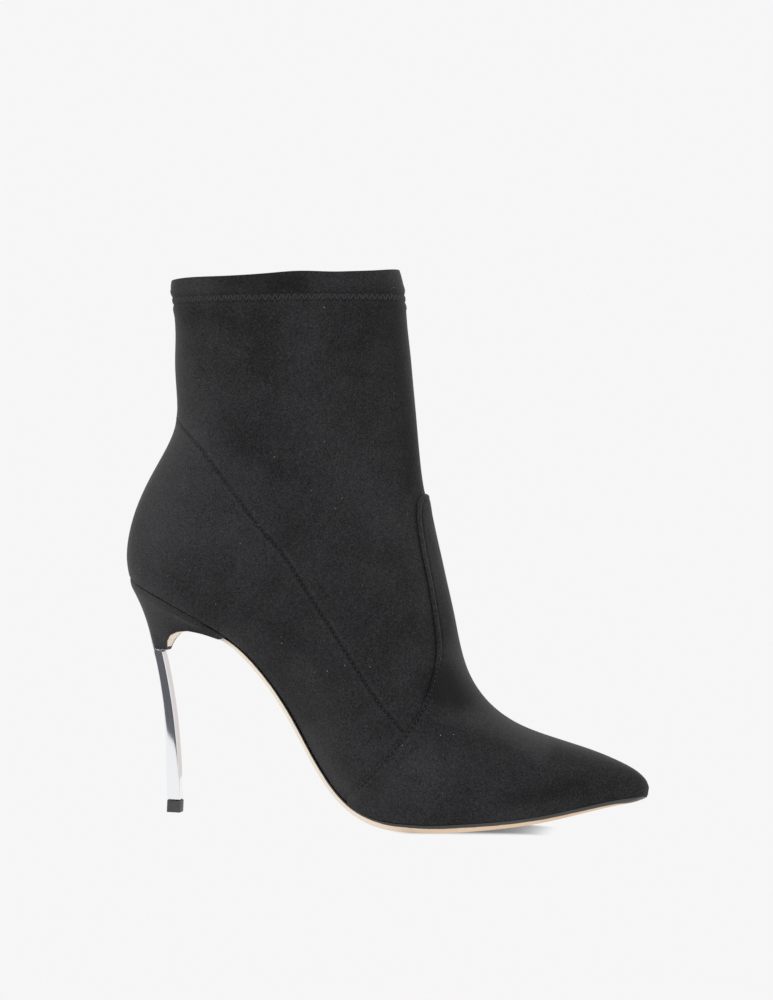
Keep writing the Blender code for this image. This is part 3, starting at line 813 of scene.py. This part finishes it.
def sidePrism(name, outline, reach):            # a cutter with this outline seen from the side
    made = addMesh(name, [Vector((x, -reach, z)) * mm for x, z in outline], [list(range(len(outline)))])
    selectFaces(made, lambda face: True)
    bpy.ops.mesh.extrude_region_move(TRANSFORM_OT_translate={"value": (0, 2 * reach * mm, 0)})
    bpy.ops.mesh.select_all(action="SELECT")
    bpy.ops.mesh.normals_make_consistent(inside=False)
    bpy.ops.object.mode_set(mode="OBJECT")
    return made


vampEdge = softPath(vampLook["edge"], 1.0)
back, top = vampLook["edge"][0][0], vampLook["edge"][-1][1]
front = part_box("vamp")[1].x / mm + vampLook["margin"]
bottom = vampLook["edge"][0][1] - vampLook["margin"]
cutter = sidePrism("vampCutter", vampEdge + [[front, top], [front, bottom], [back, bottom]], 60)

vamp = addObject("bootVamp", boot.data.copy())
blankFrom, blankTop = (value * mm for value in vampLook["blank"])
dropFaces(vamp, lambda face: face.center.x < blankFrom or face.center.z > blankTop)
useModifier(vamp, "DISPLACE", strength=vampLook["lift"] * mm, mid_level=0)
useModifier(vamp, "SOLIDIFY", thickness=vampLook["thick"] * mm, offset=1)
useModifier(vamp, "BOOLEAN", operation="INTERSECT", object=cutter)
bpy.data.objects.remove(cutter)


def onOutline(place):                           # lies on the cut of the side outline
    x, z = place.x / mm, place.z / mm
    for a, b in zip(vampEdge, vampEdge[1:] + [[front, top]]):
        length = math.dist(a, b)
        along = ((x - a[0]) * (b[0] - a[0]) + (z - a[1]) * (b[1] - a[1])) / length
        off = abs((x - a[0]) * (b[1] - a[1]) - (z - a[1]) * (b[0] - a[0])) / length
        if off < 0.01 and -0.02 <= along <= length + 0.02:
            return True
    return False


def cutEdgeOf(obj):                             # places and normals along the outer rim of the cut
    mesh = obj.data
    rim = []
    onCut = [onOutline(v.co) for v in mesh.vertices]
    for edge in mesh.edges:
        a, b = (mesh.vertices[n] for n in edge.vertices)
        if not (onCut[a.index] and onCut[b.index]):
            continue
        near = [bootTree.find_nearest(v.co) for v in (a, b)]
        if min(hit[3] for hit in near) < (vampLook["lift"] + 0.8 * vampLook["thick"]) * mm:
            continue
        steps = max(1, int((a.co - b.co).length / (0.15 * mm)))
        for n in range(steps + 1):
            rim.append((a.co.lerp(b.co, n / steps), near[0][1]))
    return rim


vampRim = cutEdgeOf(vamp)
refineNear(vamp, vampRim, vampLook["reach"], vampLook["cuts"])


def vampProfile(away, height):                  # turned edge, with the rolled bead above and the lap below
    bead = ramp(height, *vampLook["beadTop"])
    tab = ramp(height, *vampLook["tabTop"])
    turned = -vampLook["edgeTurn"] * max(1 - away / vampLook["edgeRound"], 0.0) ** 2
    turned -= vampLook["tabTurn"] * tab * max(1 - away / vampLook["tabRound"], 0.0) ** 2
    middle = vampLook["beadWidth"] / 2
    roll = (1 - 0.5 * tab) * vampLook["bead"] * bell(away - middle, vampLook["beadRound"])
    roll -= (1 - tab) * vampLook["beadGroove"] * bell(away - vampLook["beadWidth"] - 0.1, 0.5)
    lap = -vampLook["lapGroove"] * bell(away - vampLook["lapAt"], 0.4)
    return turned + bead * roll + (1 - bead) * lap


rimTree = kdOf([place for place, normal in vampRim])
for vertex in vamp.data.vertices:
    place, index, away = rimTree.find(vertex.co)
    under = bootTree.find_nearest(vertex.co)
    if away < vampLook["reach"] * mm and under[3] > 0.6 * mm:
        vertex.co += under[1] * vampProfile(away / mm, vertex.co.z / mm) * mm

vampFolds = (
    (-1, ((116, 68), (118, 60), (121, 54)), -0.7, 5.5),
    (-1, ((115.5, 88), (114, 78), (116, 70)), 0.35, 5),
    (1, ((115, 66), (119, 58), (123, 52)), -0.6, 5.5),
    (-1, ((148, 16), (176, 23)), -0.3, 5),
    (1, ((146, 17), (172, 22)), -0.3, 5),
)
for fold in vampFolds:
    foldAlong(vamp, *fold)
vamp.data.materials.clear()
vamp.data.materials.append(suede)
paintNapAndLight(vamp)


def edgeShade(away, place):                     # painted highlight along the rolled and the lapped edge, painted shade in the grooves behind them, and a wide darker band inside the lap
    bead = ramp(place.z, *vampLook["beadTop"])
    rolled = 0.30 * bell(away - 0.9, 0.7) - 0.42 * bell(away - vampLook["beadWidth"] - 0.1, 0.5)
    lapped = 0.32 * bell(away - 0.2, 0.35) - 0.3 * bell(away - vampLook["lapAt"], 0.5)
    lapped -= 0.16 * bell(away - 5.5, 2.5)
    return bead * rolled + (1 - bead) * lapped


shadeBy(vamp, rimTree, edgeShade, 11)
# painted shadow on the upper along the vamp's edge
shadeBy(upper, rimTree, lambda away, place: -0.6 * bell(away, 1.1), 4)
smoothShade(vamp, 55)
finishPiece(vamp, "suede", "vamp")
say(f"vamp: {len(vamp.data.polygons)} faces, {len(vampRim)} places on its rim")


# Stitches, each a short bowed thread, joined into one mesh for a row

def makeStitch(look):                           # modelled once: a flat bead, its ends drawn into the skin
    bpy.ops.object.select_all(action="DESELECT")
    bpy.ops.mesh.primitive_uv_sphere_add(segments=8, ring_count=6, radius=0.5)
    made = bpy.context.active_object
    bpy.ops.object.mode_set(mode="EDIT")
    bpy.ops.transform.rotate(value=math.pi / 2, orient_axis="Y", center_override=(0, 0, 0))
    bpy.ops.transform.resize(value=(1, look["width"] / look["length"], look["height"] / look["length"]))
    bpy.ops.object.mode_set(mode="OBJECT")
    shape = [v.co.copy() for v in made.data.vertices]
    for place in shape:
        place.z -= 0.35 * look["height"] / look["length"] * (2 * place.x) ** 2
    faces = [tuple(p.vertices) for p in made.data.polygons]
    bpy.data.objects.remove(made)
    return shape, faces


def sewRow(name, look, spans):                  # spans: start, end and the skin's normal
    shape, faces = makeStitch(look)
    places, joined = [], []
    for start, end, normal in spans:
        along = end - start
        across = normal.cross(along).normalized()
        above = along.cross(across).normalized()
        middle = (start + end) / 2 + normal * look["sit"] * mm
        first = len(places)
        size = along.length
        for p in shape:
            places.append(middle + along * p.x + across * p.y * size + above * p.z * size)
        joined.extend(tuple(first + n for n in face) for face in faces)
    made = addMesh(name, places, joined)
    made.data.materials.append(thread)
    selectFaces(made, lambda face: True)
    bpy.ops.mesh.normals_make_consistent(inside=False)
    bpy.ops.object.mode_set(mode="OBJECT")
    made.data.shade_smooth()
    finishPiece(made, "suede")
    say(f"{name}: {len(spans)} stitches")


def spansAlong(laid, tree, length, gap):        # straight stitches on a laid line
    total = sum((b[0] - a[0]).length for a, b in zip(laid, laid[1:])) / mm
    count = int(total / (length + gap))
    marks, travelled = [], 0.0
    for (a, normal), (b, after) in zip(laid, laid[1:]):
        step = (b - a).length / mm
        while len(marks) < 2 * count:
            goal = len(marks) // 2 * (length + gap) + len(marks) % 2 * length
            if goal > travelled + step:
                break
            hit, facing, index, away = tree.find_nearest(a.lerp(b, (goal - travelled) / step))
            marks.append((hit, facing))
        travelled += step
    return [(a, b, facing) for (a, facing), (b, after) in zip(marks[::2], marks[1::2])]


skin = surfaceOf(upper)
hemStitch = {"width": 0.40, "height": 0.42, "length": 2.4, "sit": 0.12, "pitch": 1.4,
             "hole": 0.42, "pull": 0.2, "dark": 0.9}


def evenRound(ring, pitch):                     # an even number of places, evenly round a closed line
    closed = [place for place, normal in ring + ring[:1]]
    length = sum((b - a).length for a, b in zip(closed, closed[1:]))
    count = 2 * round(length / (pitch * mm) / 2)
    places, travelled = [], 0.0
    for a, b in zip(closed, closed[1:]):
        step = (b - a).length
        while len(places) < count and len(places) * length / count <= travelled + step:
            places.append(a.lerp(b, (len(places) * length / count - travelled) / step))
        travelled += step
    return places


hemPlaces = evenRound(hemLine, hemStitch["pitch"])
hemSpans = []
for n in range(len(hemPlaces)):
    ends = []
    for m in (n, n + 1):
        rise = hemLook["band"] / 2 * (1 if m % 2 else -1)
        place = hemPlaces[m % len(hemPlaces)] + Vector((0, 0, rise)) * mm
        hit, facing, index, away = skin.find_nearest(place)
        ends.append((hit, facing))
    hemSpans.append((ends[0][0], ends[1][0], ends[0][1]))
sewRow("hemStitches", hemStitch, hemSpans)
pullHoles(upper, hemSpans, hemStitch)

seamStitch = {"width": 0.32, "height": 0.36, "length": 1.3, "sit": 0.10, "gap": 0.9,
              "hole": 0.38, "pull": 0.12, "dark": 0.6}
seamSpans = []
for line in seamLines:
    seamSpans += spansAlong(line, skin, seamStitch["length"], seamStitch["gap"])
sewRow("seamStitches", seamStitch, seamSpans)
pullHoles(upper, seamSpans, seamStitch)

vampSkin = surfaceOf(vamp)
lapStitch = {"width": 0.34, "height": 0.38, "length": 1.3, "sit": 0.06, "gap": 0.9,
             "hole": 0.42, "pull": 0.12, "dark": 0.8, "inset": (0.9, 0.75)}
lapSpans = []
for side in (-1, 1):
    inset = [(x + lapStitch["inset"][0], z - lapStitch["inset"][1]) for x, z in vampLook["edge"][2:7]]
    lapSpans += spansAlong(layOnSide(vampSkin, inset, side), vampSkin, lapStitch["length"], lapStitch["gap"])
sewRow("lapStitches", lapStitch, lapSpans)
pullHoles(vamp, lapSpans, lapStitch)


# Outsole, insole and heel: their CAD nodes, drawn out, rounded and finished

def roundNode(part, name, finish, slot, look, change=None):
    made = copyNode(part, name)
    made.data.materials.append(finish)
    if change:
        change(made.data)
    fitToOutline(made)
    creaseSharp(made, look["sharp"], look["crease"])
    soften(made, look["levels"])
    smoothShade(made, look["shade"])
    finishPiece(made, slot, part)
    return made


soleLook = {
    "sharp": 20, "crease": 1.0, "levels": 2, "shade": 30,
    "rims": {1: 1.1, 0: 0.0, -1: -1.5},         # ink at the upper, at the bevel and underneath
    # X, how far the black edge colour comes down, and how far the leather is painted paler, as painted light
    "ink": ((7, -3.0, 1.0), (14, -0.55, 1.0), (60, -0.55, 1.0), (85, -0.5, 0.9), (100, -0.3, 0.4),
            (120, -0.1, 0.1), (150, 0.0, 0.0), (165, 0.15, 0.0), (180, 0.4, 0.0), (190, 0.65, 0.0),
            (197, 1.4, 0.0)),
    "flap": 9, "rimInk": 0.5,                   # in front of the flap the rim under the upper stays black
    "toe": 197, "toeLength": 6, "toeBack": 0.9, "toeUp": 0.8,    # the toe end is ground back and up
}


def inkSole(mesh):                              # natural leather, its edge inked black, and painted paler towards the heel as painted light
    look = soleLook
    rims = {}                                   # 1 where it meets the upper, -1 underneath, 0 at the bevel
    for face in mesh.polygons:
        if abs(face.normal.y) < 0.02 and face.area > 4 * mm * mm:
            inside = bootTree.find_nearest(face.center)[0]
            for n in face.vertices:
                rims[n] = 1 if face.normal.dot(inside - face.center) > 0 else -1
    ink = mesh.attributes.new("ink", "FLOAT", "POINT")
    paintedPale = mesh.attributes.new("paintedPale", "FLOAT", "POINT")
    for vertex in mesh.vertices:
        x = vertex.co.x / mm
        down, paintedPaleLeather = follow(look["ink"], x)
        kind = rims.get(vertex.index, 0)
        inked = look["rims"][kind] + down
        if kind == 1 and x > look["flap"]:
            inked = max(inked, look["rimInk"])
        ink.data[vertex.index].value = inked
        paintedPale.data[vertex.index].value = paintedPaleLeather
        ground = max((x - look["toe"]) / look["toeLength"], 0.0)
        rise = look["toeUp"] * ground if kind != 1 else 0.0
        vertex.co += Vector((-look["toeBack"] * ground, 0, rise)) * mm


outsole = roundNode("outsole", "bootOutsole", soleFinish, "sole_leather", soleLook, inkSole)
say(f"outsole: {len(outsole.data.polygons)} faces")

insoleLook = {"sharp": 40, "crease": 0.6, "levels": 2, "shade": 40}
roundNode("insole", "bootInsole", sockLeather, "sock_leather", insoleLook)

# Heel: suede-covered block, polished blade, rubber tip
blockLook = {"sharp": 35, "crease": 0.8, "levels": 2, "shade": 35}
bladeLook = {"sharp": 60, "crease": 1.0, "levels": 3, "shade": 50}
tipLook = {"bevel": 0.3, "segments": 3, "sharp": 60}

block = roundNode("heel_block", "heelBlock", suede, "suede", blockLook)
paintNapAndLight(block)
roundNode("heel_blade", "heelBlade", mirrorSteel, "polished_metal", bladeLook)

tip = copyNode("heel_tip", "heelTip")
tip.data.materials.append(tipRubber)
useModifier(tip, "BEVEL", width=tipLook["bevel"] * mm, segments=tipLook["segments"], limit_method="ANGLE",
            angle_limit=math.radians(tipLook["sharp"]))
smoothShade(tip)
finishPiece(tip, "rubber", "heel_tip")
bpy.data.objects.remove(boot)
say("heel ready")


# Stage and camera

stageLook = {
    "white": (0.922, 0.922, 0.922, 1), "size": 12000,
    "shadow": (0.20, 0.20, 0.205, 1), "shadowReach": 7,          # a painted contact shadow, kept tight
    "shadowSlant": 0.5, "shadowLine": -88, "shadowSoft": 9,      # the painted shadow is cut off along a slanting line on the outer side
    "shadowEnds": (120, 98),                                     # and it has gone at the waist
    "card": (0.118, 0.118, 0.134, 1), "cardFrom": -268,          # what the heel's flat side mirrors
    "blush": (0.72, 0.66, 0.65, 1), "world": (0.922, 0.922, 0.922, 1),
    "sun": 0.35, "sunSpread": 50, "sunTilt": (18, 0, 20),
}


def stagePlane(name, corners, paint):
    made = addMesh(name, [Vector(corner) * mm for corner in corners], [(0, 1, 2, 3)])
    made.data.materials.append(paint)
    return made


def glowing(name):                              # gives its own light, so nothing falls on it
    made, tree, shader = material(name, "none", **{"Base Color": (0, 0, 0, 1), "Roughness": 1.0,
                                                   "Specular IOR Level": 0.0, "Emission Strength": 1.0})
    return made, tree, shader.inputs["Emission Color"]


# The floor glows evenly, with a painted contact shadow from an ambient occlusion mask
def paintFloor():
    look = stageLook
    made, tree, glow = glowing("floorPaint")
    near = node(tree, "ShaderNodeAmbientOcclusion", (-600, 0), {"Distance": look["shadowReach"] * mm},
                samples=12)
    lit = between(tree, near.outputs["AO"], 0.12, 0.92, (-400, 0))
    place = node(tree, "ShaderNodeSeparateXYZ", (-800, -200))
    tree.links.new(ownPlaces(tree), place.inputs["Vector"])
    slant = maths(tree, "MULTIPLY", place.outputs["X"], look["shadowSlant"])
    slant = maths(tree, "SUBTRACT", place.outputs["Y"], slant)
    line, soft = look["shadowLine"] * mm, look["shadowSoft"] * mm
    paintedShadowCut = between(tree, slant, line + soft, line - soft, (-600, -400))
    start, end = look["shadowEnds"]
    behind = between(tree, place.outputs["X"], start * mm, end * mm, (-600, -200))
    lit = maths(tree, "MAXIMUM", lit, maths(tree, "MAXIMUM", paintedShadowCut, behind))
    tree.links.new(mixColour(tree, lit, look["shadow"], look["white"]), glow)
    return made


def paintCard():                                # dark up to a ragged line
    look = stageLook
    made, tree, glow = glowing("cardPaint")
    places = ownPlaces(tree)
    streaks = node(tree, "ShaderNodeMapping", (-1000, 0), {"Scale": (1100, 22, 1)})
    tree.links.new(places, streaks.inputs["Vector"])
    ragged = noise(tree, streaks.outputs["Vector"], 1.0, 3, 0.6, (-800, 0))
    split = node(tree, "ShaderNodeSeparateXYZ", (-1000, -300))
    tree.links.new(places, split.inputs["Vector"])
    line = maths(tree, "MULTIPLY", split.outputs["Y"], 1000)
    line = maths(tree, "ADD", line, maths(tree, "MULTIPLY", ragged, 140))
    dark = between(tree, line, look["cardFrom"] + 8, look["cardFrom"] - 8, (-300, 0))
    tree.links.new(mixColour(tree, dark, look["white"], look["card"]), glow)
    return made


def layCards():
    dark = paintCard()
    blush, tree, glow = glowing("blushPaint")
    glow.default_value = stageLook["blush"]
    cards = (
        ("frontCard", dark, ((-700, -1500, 0.5), (240, -1500, 0.5), (240, -230, 0.5), (-700, -230, 0.5))),
        ("backCard", dark, ((-700, -1500, 0.5), (240, -1500, 0.5), (240, -1500, 800), (-700, -1500, 800))),
        ("sideCard", dark, ((330, -330, 1), (400, -190, 1), (400, -190, 260), (330, -330, 260))),
        ("rearCard", blush, ((-60, 260, 1), (260, 260, 1), (260, 260, 140), (-60, 260, 140))),
    )
    for name, paint, corners in cards:          # only mirrors see them
        card = stagePlane(name, corners, paint)
        card.visible_camera = card.visible_diffuse = False
        card.visible_shadow = card.visible_transmission = False


half = stageLook["size"] / 2
floorCorners = [(x * half, y * half, -0.05) for x, y in ((-1, -1), (1, -1), (1, 1), (-1, 1))]
stagePlane("floor", floorCorners, paintFloor())
layCards()

world = bpy.data.worlds.new("studio")
scene.world = world
world.use_nodes = True
world.node_tree.nodes["Background"].inputs["Color"].default_value = stageLook["world"]
world.node_tree.nodes["Background"].inputs["Strength"].default_value = 1.0

bpy.ops.object.light_add(type="SUN", rotation=[math.radians(turn) for turn in stageLook["sunTilt"]])
sun = bpy.context.active_object
sun.data.energy = stageLook["sun"]
sun.data.angle = math.radians(stageLook["sunSpread"])

cameraLook = {
    "place": (303.8, -1586.3, 155.0), "pan": 7.8, "pitch": -0.6, "roll": 2.45,
    "lens": 134.8, "sensor": 36.0, "shift": -0.0008,
}


def makeCamera(look):
    pan, pitch, roll = (math.radians(look[key]) for key in ("pan", "pitch", "roll"))
    ahead = Vector((-math.sin(pan) * math.cos(pitch), math.cos(pan) * math.cos(pitch), math.sin(pitch)))
    right = Vector((math.cos(pan), math.sin(pan), 0))
    above = right.cross(ahead)
    turnedRight = right * math.cos(roll) + above * math.sin(roll)
    turnedUp = above * math.cos(roll) - right * math.sin(roll)
    data = bpy.data.cameras.new("camera")
    data.lens = look["lens"]
    data.sensor_width = look["sensor"]
    data.clip_start = 0.01
    data.shift_x = look["shift"]
    made = addObject("camera", data)
    axes = Matrix((turnedRight, turnedUp, -ahead)).transposed()
    made.matrix_world = Matrix.Translation(Vector(look["place"]) * mm) @ axes.to_4x4()
    scene.camera = made


makeCamera(cameraLook)
scene.view_settings.view_transform = "Standard"
